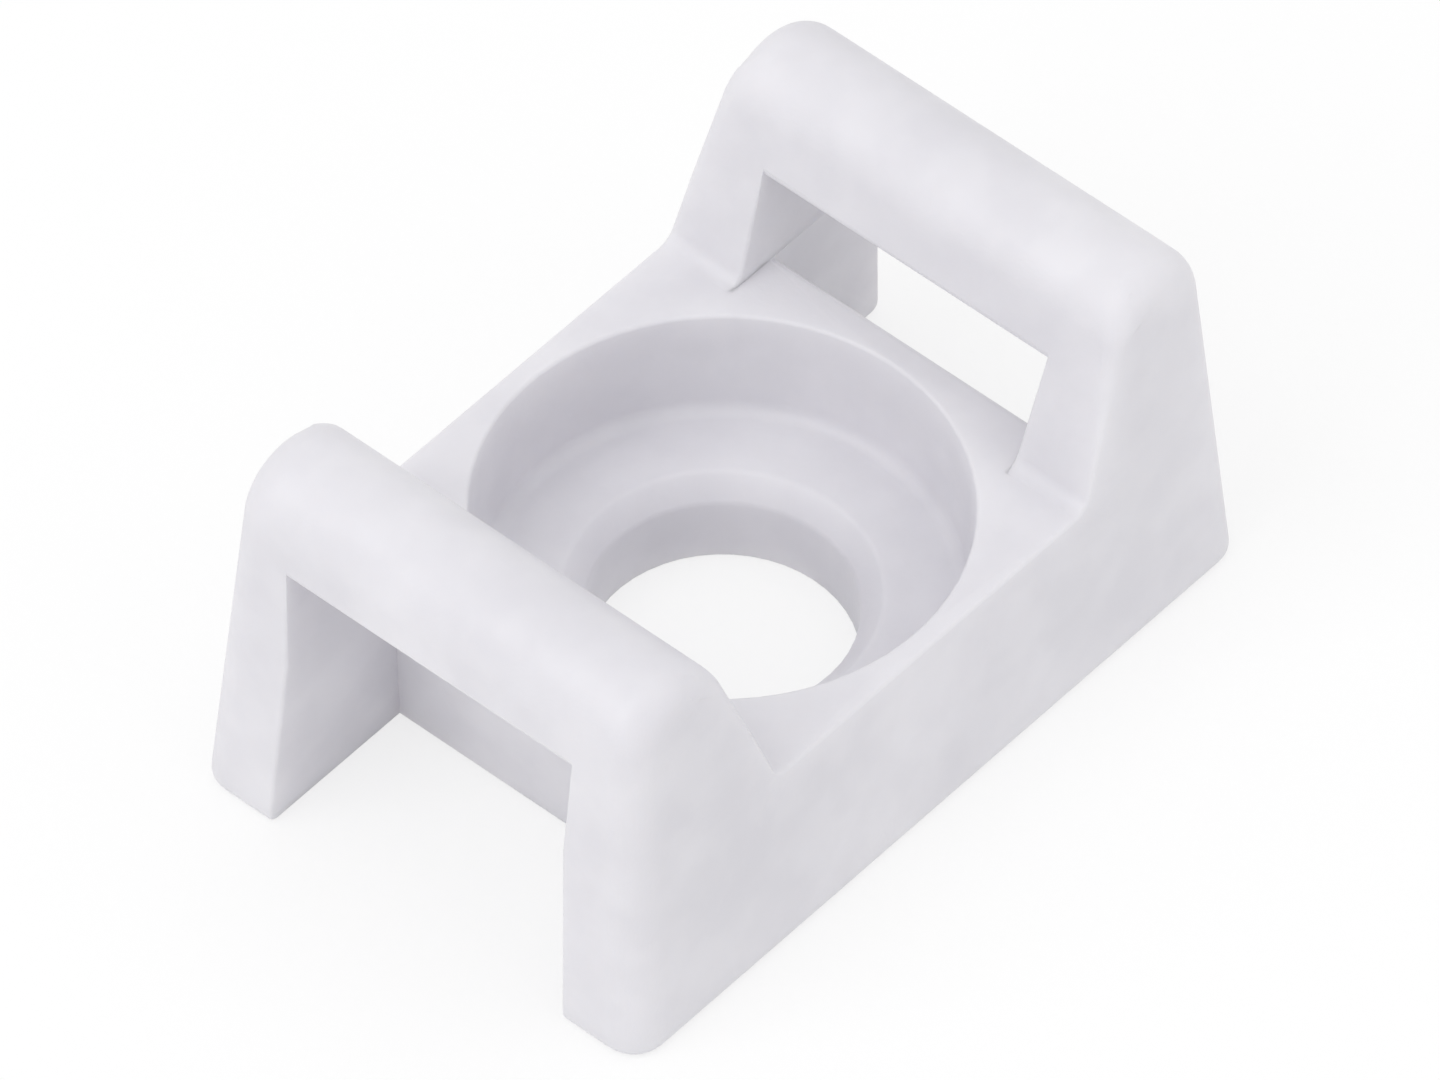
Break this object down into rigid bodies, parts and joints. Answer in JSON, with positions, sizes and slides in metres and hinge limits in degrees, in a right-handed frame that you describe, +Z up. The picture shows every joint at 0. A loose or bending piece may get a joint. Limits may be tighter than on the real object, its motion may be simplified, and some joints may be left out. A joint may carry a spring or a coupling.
{
  "type": "cable tie mount",
  "caption": "Screw-down saddle mount: a cable lies between two raised cross bars, and a tie passes under both bars and over the cradle floor.",
  "frame": {"origin": "centre of the screw hole at the base plane, which is also the middle of the part's underside", "axes": "+X along the tie, from bar to bar; +Y along the cable; +Z up, out of the panel, along the screw hole"},
  "size_m": [0.0156, 0.01, 0.0078],
  "materials": {
    "natural_nylon": "satin, as moulded, slightly translucent"
  },
  "bodies": {
    "root": {"tie_mount_body": "natural_nylon"}
  },
  "joints": []
}
